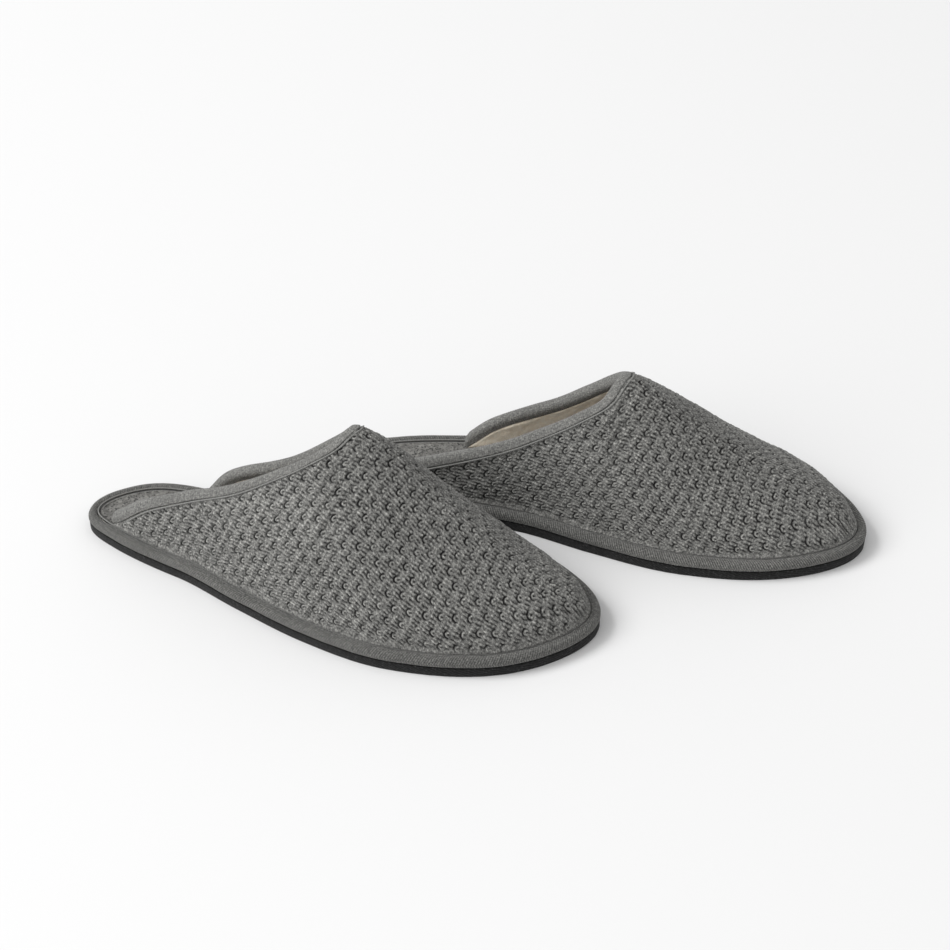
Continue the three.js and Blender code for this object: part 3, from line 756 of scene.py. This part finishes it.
def build_knit(slipper, opening):
    p0, p1, faces, (y, angle, tri), _ = layer(
        opening, 0, KNIT_THICKNESS, KNIT_SPACING, KNIT_SKIN_SPACING, KNIT_SPACING)
    normals = outward_normals(p0, tri)
    across, along = DEVELOPED(y, angle)
    seed = 100 if slipper == "right" else 200
    # The relief, and its painted shading: shade in the gaps, highlight on the raised strands.
    relief, pit_shade = stitch_relief(across * SIDES[slipper], along, seed)
    # Near the rim and the opening's edge the knit is pulled flat, and its painted shading fades
    # towards an even middle value.
    to_rim = p0[:, 2] - UPPER_BASE
    wall = np.where(angle >= 0, opening.outer.angle_at(y), opening.inner.angle_at(y))
    edge = OUTER_FACE.point(y, np.where(y < CROWN_Y, wall, 0))
    to_edge = np.where(y < CROWN_Y, np.linalg.norm(p0 - edge, axis=1), 99)
    to_edge = np.minimum(to_edge, np.linalg.norm(p0 - OUTER_FACE.point(CROWN_Y, 0.0), axis=1))
    calm = smoothstep(to_rim, 0.3, 4.0) * smoothstep(to_edge, 0.5, 2.5)
    pit_shade = lerp(0.3, pit_shade, lerp(0.25, 1, calm))
    soft = 0.7 * value_noise(p0, 34, seed + 5) + 0.25 * value_noise(p0, 11, seed + 6)
    soft = soft * smoothstep(to_rim, 0, 12) * smoothstep(to_edge, 0, 14)
    raised = relief * lerp(0.15, 1, calm) + soft
    fine = 0.06 * value_noise(p0, 0.9, seed + 7)
    p0 = p0 + normals * np.maximum(raised + fine * calm, -DEEPEST)[:, None]
    # The hem spreads over the seam that holds it.
    level = normals * [1, 1, 0]
    level /= np.maximum(np.linalg.norm(level, axis=1, keepdims=True), 0.2)
    p0 = p0 + level * (HEM_SPREAD * (1 - smoothstep(to_rim, 0, HEM_HEIGHT)))[:, None]
    p0[:, 2] = np.maximum(p0[:, 2], UPPER_BASE)
    coords = np.concatenate([np.column_stack([across, along, pit_shade]), np.zeros((len(p1), 3))])
    obj = make_piece(slipper, "upper_knit", np.concatenate([p0, p1]), faces, coords)
    declare_layer(obj, OUTER_FACE, y, angle, tri, [f"{slipper}_upper_interlining"])


def declare_layer(obj, surface, y, angle, tri, rests_on):
    """Work out a layer's triangle corners and its size when spread out flat; nothing is kept."""
    a, b, c = corners_of(surface.point(y, angle), tri)
    flat = [np.ptp(values) * MM for values in DEVELOPED(y, angle)]


def build_inner_layers(slipper, opening):
    outer = KNIT_THICKNESS + GAP
    p0, p1, faces, facts, _ = layer(opening, outer, outer + INTERLINING_THICKNESS,
                                    PADDING_SPACING, PADDING_SPACING, PADDING_STEP)
    padding = make_piece(slipper, "upper_interlining", np.concatenate([p0, p1]), faces)
    declare_layer(padding, UpperSurface(outer), *facts, [f"{slipper}_upper_lining"])
    top = UPPER_THICKNESS - LINING_THICKNESS
    p0, p1, faces, facts, (_, _, tri) = layer(opening, top, UPPER_THICKNESS, LINING_SPACING,
                                              PILE_SPACING, PILE_SPACING)
    normals = outward_normals(p1, tri)
    away = smoothstep(p1[:, 2] - UPPER_BASE, 0.2, 3)
    pile = 0.45 * value_noise(p1, 2.6, 41) + 0.3 * value_noise(p1, 6.5, 42)
    p1 = p1 + normals * ((pile - 0.35) * away)[:, None]
    lining = make_piece(slipper, "upper_lining", np.concatenate([p0, p1]), faces)
    declare_layer(lining, UpperSurface(top), *facts, [f"{slipper}_footbed_cover"])


# ---- The opening's edge ----

BAND_RIB_PITCH, BAND_RIB_STEPS, BAND_RIB_DEPTH = 1.2, 6, 0.06
BAND_CORNER, BAND_SPACING, BAND_END, BAND_BLUR = 0.8, 0.7, 5, 7
COLLAR_THREAD_STATIONS, COLLAR_THREAD_PITCH = 1300, 2.4
COLLAR_THREAD_REACH = 13 / 14
ROW_UNDER = (13 / 14) ** 1.3  # the CAD grid's row next to the opening's edge


def edge_frames(opening, reach, count):
    """Even frames along the opening's edge: point, ways down and out of the face, way out of the
    edge, and the distance along. reach is the share of each wall covered."""
    fine = np.linspace(-reach, reach, 6001)
    length = running_length(opening.grid(OUTER_FACE, fine, 1.0))
    at = np.linspace(0, length[-1], count)
    across = np.interp(at, length, fine)
    point = opening.grid(OUTER_FACE, across, 1.0)
    under = opening.grid(OUTER_FACE, across, ROW_UNDER)
    inside = opening.grid(INNER_FACE, across, 1.0)
    down = unit(under - point)
    blur = max(3, int(BAND_BLUR / (length[-1] / count)))
    point, normal = smoothed(point, blur), unit(smoothed(unit(point - inside), blur))
    outwards = unit(np.cross(np.gradient(point, axis=0), normal))
    outwards[np.einsum("ij,ij->i", outwards, down) > 0] *= -1
    return point, down, normal, outwards, at


def smoothed(values, reach):
    """Running means over reach rows to each side, with the ends carried on straight."""
    kernel = np.hanning(2 * reach + 3)[1:-1]
    kernel /= kernel.sum()
    head = 2 * values[0] - values[reach:0:-1]
    tail = 2 * values[-1] - values[-2:-reach - 2:-1]
    padded = np.concatenate([head, values, tail])
    return np.stack([np.convolve(padded[:, k], kernel, "valid")
                     for k in range(values.shape[1])], -1)


def bar_faces(rings):
    """The faces of a bar of rings that is closed at its two ends."""
    count, sides = rings.shape[:2]
    last = (count - 1) * sides
    return [*ring_faces(count, sides, False), list(range(sides))[::-1],
            list(range(last, last + sides))]


def build_collar(slipper, opening):
    near, far = GAP, GAP + BAND_HEIGHT
    top, bottom = BAND_PROUD, -UPPER_THICKNESS - BAND_PROUD
    round_ = (top - bottom) * BAND_ROUNDNESS
    corners = [(near, bottom), (far, bottom), (far, top), (near, top)]
    radii = (BAND_CORNER, round_, round_, BAND_CORNER)
    section, normals, around = bar_section(corners, radii, BAND_SPACING)
    length = edge_frames(opening, 1, 50)[-1][-1]
    count = int(length / BAND_RIB_PITCH) * BAND_RIB_STEPS + 1
    point, _, normal, outwards, at = edge_frames(opening, 1, count)
    wander = 0.3 * value_noise(point, 11, 51) + 0.12 * value_noise(point, 3, 52)
    phase = 2 * math.pi * (at[:, None] / BAND_RIB_PITCH + wander[:, None]
                           + 0.02 * around[None, :])
    shown = smoothstep(section[:, 0], near, near + 0.9)
    ends = smoothstep(at, 0, 4) * smoothstep(at[-1] - at, 0, 4)
    relief = BAND_RIB_DEPTH * (np.cos(phase) - 0.3) * shown * lerp(0.2, 1, ends)[:, None]
    puff = 0.3 * value_noise(point, 16, 53)[:, None] * shown
    # The band's two ends are rounded off.
    full = np.sqrt(np.clip(np.minimum(at, at[-1] - at) / BAND_END, 0, 1))[:, None]
    width = lerp(0.5, 1, full)
    out = near + (section[None, :, 0] - near) * width + normals[None, :, 0] * (relief + puff)
    up = section[None, :, 1] + normals[None, :, 1] * (relief + puff)
    rings = (point[:, None] + outwards[:, None] * out[..., None] + normal[:, None] * up[..., None])
    rings[..., 2] = np.maximum(rings[..., 2], UPPER_BASE)
    # Painted shade in the ribs' furrows.
    painted_shading = 0.3 + 0.2 * (0.5 - 0.5 * np.cos(phase)) * shown
    obj = make_piece(slipper, "collar_band", rings.reshape(-1, 3), bar_faces(rings),
                     rib_weave(at[:, None], around, painted_shading))


def build_collar_seam(slipper, opening):
    point, down, normal, outwards, _ = edge_frames(opening, COLLAR_THREAD_REACH,
                                                   COLLAR_THREAD_STATIONS)
    place = point + down * BAND_SEAM_BELOW + normal * (THREAD_RADIUS + GAP)
    rings = twisted_thread(place, outwards, normal, COLLAR_THREAD_PITCH)
    rings[..., 2] = np.maximum(rings[..., 2], UPPER_BASE)
    make_piece(slipper, "collar_seam", rings.reshape(-1, 3), bar_faces(rings))


# ---- Materials ----

class Nodes:
    """Shorthand for one material's node tree."""

    def __init__(self, name):
        self.material = bpy.data.materials.new(name)
        self.material.use_nodes = True
        self.tree = self.material.node_tree
        self.shader = self.tree.nodes["Principled BSDF"]

    def add(self, kind, inputs=None, **settings):
        node = self.tree.nodes.new(kind)
        for key, value in settings.items():
            setattr(node, key, value)
        self.fill(node, inputs or {})
        return node

    def fill(self, node, inputs):
        for key, value in inputs.items():
            self.set(node.inputs[key], value)

    def set(self, socket, value):
        if isinstance(value, bpy.types.NodeSocket):
            self.tree.links.new(value, socket)
        else:
            socket.default_value = value

    def noise(self, vector, scale, detail=2.0, roughness=0.5):
        node = self.add("ShaderNodeTexNoise", {"Vector": vector, "Scale": scale, "Detail": detail,
                                               "Roughness": roughness})
        return node.outputs["Fac"]

    def ramp(self, fac, stops):
        node = self.add("ShaderNodeValToRGB", {"Fac": fac})
        elements = node.color_ramp.elements
        while len(elements) < len(stops):
            elements.new(0.5)
        for element, (position, value) in zip(elements, stops):
            element.position = position
            element.color = (value, value, value, 1) if isinstance(value, float) else (*value, 1)
        return node.outputs["Color"]

    def mix(self, fac, a, b, blend="MIX"):
        node = self.add("ShaderNodeMix", data_type="RGBA", blend_type=blend)
        for key, value in (("Factor", fac), ("A", a), ("B", b)):
            matching = [s for s in node.inputs if s.name == key and s.enabled]
            if isinstance(value, tuple) and len(value) == 3:
                value = (*value, 1)
            self.set(matching[0], value)
        return next(s for s in node.outputs if s.enabled and s.name == "Result")

    def times(self, color, factor):
        return self.mix(1.0, color, factor, "MULTIPLY")

    def math(self, operation, a, b=0.0):
        return self.add("ShaderNodeMath", {0: a, 1: b}, operation=operation).outputs[0]

    def position(self, scale=(1, 1, 1)):
        coordinates = self.add("ShaderNodeTexCoord").outputs["Object"]
        node = self.add("ShaderNodeMapping", {"Vector": coordinates, "Scale": scale})
        return node.outputs["Vector"]

    def weave(self):
        """The piece's own coordinates, in millimetres, and the painted shading of each place."""
        attribute = self.add("ShaderNodeAttribute", attribute_name="weave")
        parts = self.add("ShaderNodeSeparateXYZ", {"Vector": attribute.outputs["Vector"]})
        return parts.outputs["X"], parts.outputs["Y"], parts.outputs["Z"]

    def vector(self, x, y, z=0.0):
        return self.add("ShaderNodeCombineXYZ", {"X": x, "Y": y, "Z": z}).outputs["Vector"]

    def bump(self, height, strength, distance, normal=None):
        node = self.add("ShaderNodeBump", {"Height": height, "Strength": strength,
                                           "Distance": distance})
        if normal is not None:
            self.set(node.inputs["Normal"], normal)
        return node.outputs["Normal"]

    def finish(self, color, normal, roughness, sheen=0.0):
        self.fill(self.shader, {"Base Color": color, "Normal": normal, "Roughness": roughness,
                                "Specular IOR Level": 0.15, "Sheen Weight": sheen,
                                "Sheen Roughness": 0.6})
        return self.material


def grey(value, warm=0.0):
    """A faintly olive grey of that brightness, a little warmer or cooler."""
    return (value * (0.995 + warm), value, value * (0.965 - 1.3 * warm))


def yarn_material(name, base, painted_shading_stops, mottle, streak_angle=0.8, ply=1.6):
    """Mottled grey yarn: light and dark fibres, plied strands, painted shade in its hollows and
    painted highlight on its crests.
    """
    n = Nodes(name)
    x, y, pit_shade = n.weave()
    where = n.position()
    # Fibres of several greys, in short streaks along the yarn.
    c, s = math.cos(streak_angle), math.sin(streak_angle)
    along = n.math("ADD", n.math("MULTIPLY", x, c), n.math("MULTIPLY", y, s))
    aside = n.math("SUBTRACT", n.math("MULTIPLY", y, c), n.math("MULTIPLY", x, s))
    streaks = n.noise(n.vector(n.math("MULTIPLY", along, 0.6), n.math("MULTIPLY", aside, 1.5)),
                      1.0, 3.0, 0.6)
    fibres = n.noise(where, 1000, 3.0, 0.65)
    patches = n.noise(where, 45, 2.0, 0.5)
    tone = n.ramp(streaks, [(0.34, grey(base * 0.66, 0.005)), (0.5, grey(base, 0.012)),
                            (0.66, grey(base * 1.45, 0.02))])
    flecks = n.ramp(fibres, [(0.36, 1 - 0.8 * mottle), (0.5, 1.0), (0.64, 1 + mottle)])
    color = n.times(tone, flecks)
    color = n.times(color, n.ramp(patches, [(0.3, 0.93), (0.7, 1.07)]))
    # Painted shade in the hollows and painted highlight on the crests.
    color = n.times(color, n.ramp(pit_shade, painted_shading_stops))
    plies = n.add("ShaderNodeTexWave", {"Vector": n.vector(aside, along), "Scale": ply,
                                        "Distortion": 2.5, "Detail": 2.0, "Detail Scale": 1.5},
                  wave_profile="SIN").outputs["Fac"]
    normal = n.bump(plies, 0.35, 0.00025)
    normal = n.bump(fibres, 0.5, 0.00022, normal)
    roughness = n.ramp(fibres, [(0.2, 0.82), (0.8, 1.0)])
    return n.finish(color, normal, roughness, 0.12)


def felt_material(name, dark, light, fleck, fleck_share, scale=520):
    """Matted felt: a mottled ground with flecks of single fibres, and painted shade where the
    weave's third value asks for it.
    """
    n = Nodes(name)
    where = n.position()
    ground = n.noise(where, scale, 4.0, 0.65)
    clouds = n.noise(where, 90, 3.0, 0.55)
    color = n.ramp(ground, [(0.32, dark), (0.68, light)])
    color = n.times(color, n.ramp(clouds, [(0.3, 0.82), (0.7, 1.16)]))
    lines = n.noise(n.position((1, 1, 3.2)), scale * 1.7, 2.0, 0.4)
    spots = n.ramp(lines, [(fleck_share, 1.0), (fleck_share + 0.05, 0.0)])
    color = n.mix(spots, color, fleck)
    # Painted shade towards the footbed's sunk edge.
    _, _, painted_shading = n.weave()
    color = n.times(color, n.ramp(painted_shading, [(0.0, 1.0), (0.8, 0.22)]))
    normal = n.bump(ground, 0.6, 0.0004)
    return n.finish(color, normal, 0.95, 0.15)


def denim_material(name):
    """The outsole's dark, close weave, with slanted yarns and lighter specks."""
    n = Nodes(name)
    where = n.position()
    wave = n.add("ShaderNodeTexWave", {"Vector": n.position((1, 1, 1.6)), "Scale": 260,
                                       "Distortion": 3.0, "Detail": 3.0, "Detail Scale": 2.0},
                 bands_direction="DIAGONAL").outputs["Fac"]
    specks = n.noise(where, 900, 3.0, 0.7)
    color = n.ramp(specks, [(0.38, 0.004), (0.56, 0.01), (0.72, 0.05)])
    color = n.times(color, n.ramp(wave, [(0.2, 0.75), (0.8, 1.25)]))
    normal = n.bump(wave, 0.5, 0.0003)
    normal = n.bump(specks, 0.4, 0.0003, normal)
    return n.finish(color, normal, 0.93, 0.08)


def fleece_material(name):
    """Cream pile in soft clumps, paler at their tips."""
    n = Nodes(name)
    where = n.position()
    clumps = n.noise(where, 330, 4.0, 0.6)
    hairs = n.noise(n.position((1, 1, 0.35)), 1600, 3.0, 0.7)
    color = n.ramp(clumps, [(0.3, (0.88, 0.77, 0.62)), (0.5, (0.96, 0.87, 0.73)),
                            (0.7, (0.98, 0.92, 0.81))])
    color = n.times(color, n.ramp(hairs, [(0.3, 0.88), (0.7, 1.04)]))
    normal = n.bump(clumps, 0.6, 0.0006)
    normal = n.bump(hairs, 0.6, 0.0003, normal)
    return n.finish(color, normal, 0.98, 0.35)


def grain_material(name, dark, light, scale, bump, share=0.35, detail=4.0, rough=0.9, sheen=0.0):
    """One fine grain, for a thread or for a layer that doesn't show."""
    n = Nodes(name)
    grain = n.noise(n.position(), scale, detail, 0.6)
    color = n.ramp(grain, [(share, dark), (1 - share, light)])
    return n.finish(color, n.bump(grain, 0.5, bump), rough, sheen)


MATERIALS = {
    # The ramps of the two yarns paint a highlight on the crests and a shade in the hollows.
    "textured_knit": yarn_material("knit_yarn", 0.172, [(0.0, 1.7), (0.35, 0.86), (0.82, 0.1)],
                                   0.65),
    "rib_knit": yarn_material("rib_yarn", 0.19, [(0.1, 1.15), (0.9, 0.4)], 0.38, 0.2, 2.2),
    "thread": grain_material("seam_thread", grey(0.132), grey(0.286, 0.01), 1800, 0.0001, 0.3,
                             3.0, 0.85, 0.1),
    "footbed_knit": felt_material("footbed_felt", (0.075, 0.073, 0.068), (0.24, 0.235, 0.22),
                                  (0.03, 0.03, 0.03), 0.36),
    "sole_felt": denim_material("outsole_weave"),
    "fleece": fleece_material("lining_fleece"),
    "board": grain_material("pressed_board", (0.3, 0.2, 0.1), (0.44, 0.32, 0.19), 700, 0.0001),
    "foam": grain_material("open_foam", (0.62, 0.6, 0.54), (0.82, 0.8, 0.74), 1500, 0.0003),
    "padding": grain_material("padding_fibre", (0.66, 0.64, 0.6), (0.85, 0.83, 0.79), 900,
                               0.0004),
}

SLOTS = {"outsole": "sole_felt", "insole_board": "board", "midsole_foam": "foam",
         "footbed_cover": "footbed_knit", "rand_binding": "rib_knit", "rand_seam": "thread",
         "upper_knit": "textured_knit", "upper_interlining": "padding", "upper_lining": "fleece",
         "collar_band": "rib_knit", "collar_seam": "thread"}


# ---- Build ----

for name, opening in OPENINGS.items():
    for build in (build_outsole, build_filling, build_footbed, build_rand, build_rand_seam):
        build(name)
    for build in (build_knit, build_inner_layers, build_collar, build_collar_seam):
        build(name, opening)


# ---- Floor, light and camera ----

FLOOR_REACH, FLOOR_GREY, ROOM_LIGHT = 6.0, 0.81, 0.66

# Each light's place and aim, its size in metres and its power in watts.
KEY_LIGHT = ((1.8, -5.4, 5.6), (0, 0, 0), 3.6, 385)
FILL_LIGHT = ((1.9, -1.7, 1.6), (0, 0, 0.03), 2.4, 22)


def add_floor():
    mesh = bpy.data.meshes.new("floor")
    r = FLOOR_REACH
    corners = [(-r, -r, 0), (r, -r, 0), (r, r, 0), (-r, r, 0)]
    mesh.from_pydata(corners, [], [(0, 1, 2, 3)])
    floor = bpy.data.objects.new("floor", mesh)
    bpy.context.scene.collection.objects.link(floor)
    n = Nodes("pale_floor")
    n.fill(n.shader, {"Base Color": (FLOOR_GREY, FLOOR_GREY, FLOOR_GREY, 1), "Roughness": 1.0,
                      "Specular IOR Level": 0.0})
    mesh.materials.append(n.material)
    floor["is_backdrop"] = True


def add_area_light(name, place, aim, size, power):
    light = bpy.data.lights.new(name, "AREA")
    light.shape = "DISK"
    light.size = size
    light.energy = power
    obj = bpy.data.objects.new(name, light)
    obj.location = place
    obj.rotation_euler = (Vector(aim) - Vector(place)).to_track_quat("-Z", "Y").to_euler()
    bpy.context.scene.collection.objects.link(obj)


def add_light():
    world = bpy.data.worlds.new("soft_room")
    world.use_nodes = True
    background = world.node_tree.nodes["Background"]
    background.inputs["Color"].default_value = (1, 1, 1, 1)
    background.inputs["Strength"].default_value = ROOM_LIGHT
    bpy.context.scene.world = world
    add_area_light("key", *KEY_LIGHT)
    add_area_light("fill", *FILL_LIGHT)


def add_camera():
    low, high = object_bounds()
    aim = (low + high) / 2 + Vector(AIM_SHIFT)
    azimuth, elevation = math.radians(CAMERA_AZIMUTH), math.radians(CAMERA_ELEVATION)
    back = Vector((math.sin(azimuth) * math.cos(elevation),
                   -math.cos(azimuth) * math.cos(elevation), math.sin(elevation)))
    data = bpy.data.cameras.new("camera")
    data.lens, data.sensor_width = CAMERA_LENS, CAMERA_SENSOR
    data.clip_start, data.clip_end = 0.05, 50
    camera = bpy.data.objects.new("camera", data)
    camera.location = aim + back * CAMERA_DISTANCE
    camera.rotation_mode = "QUATERNION"
    camera.rotation_quaternion = (-back).to_track_quat("-Z", "Y")
    bpy.context.scene.collection.objects.link(camera)
    bpy.context.scene.camera = camera


add_floor()
add_light()
add_camera()
bpy.context.scene.view_settings.view_transform = "Standard"

bpy.context.view_layer.update()
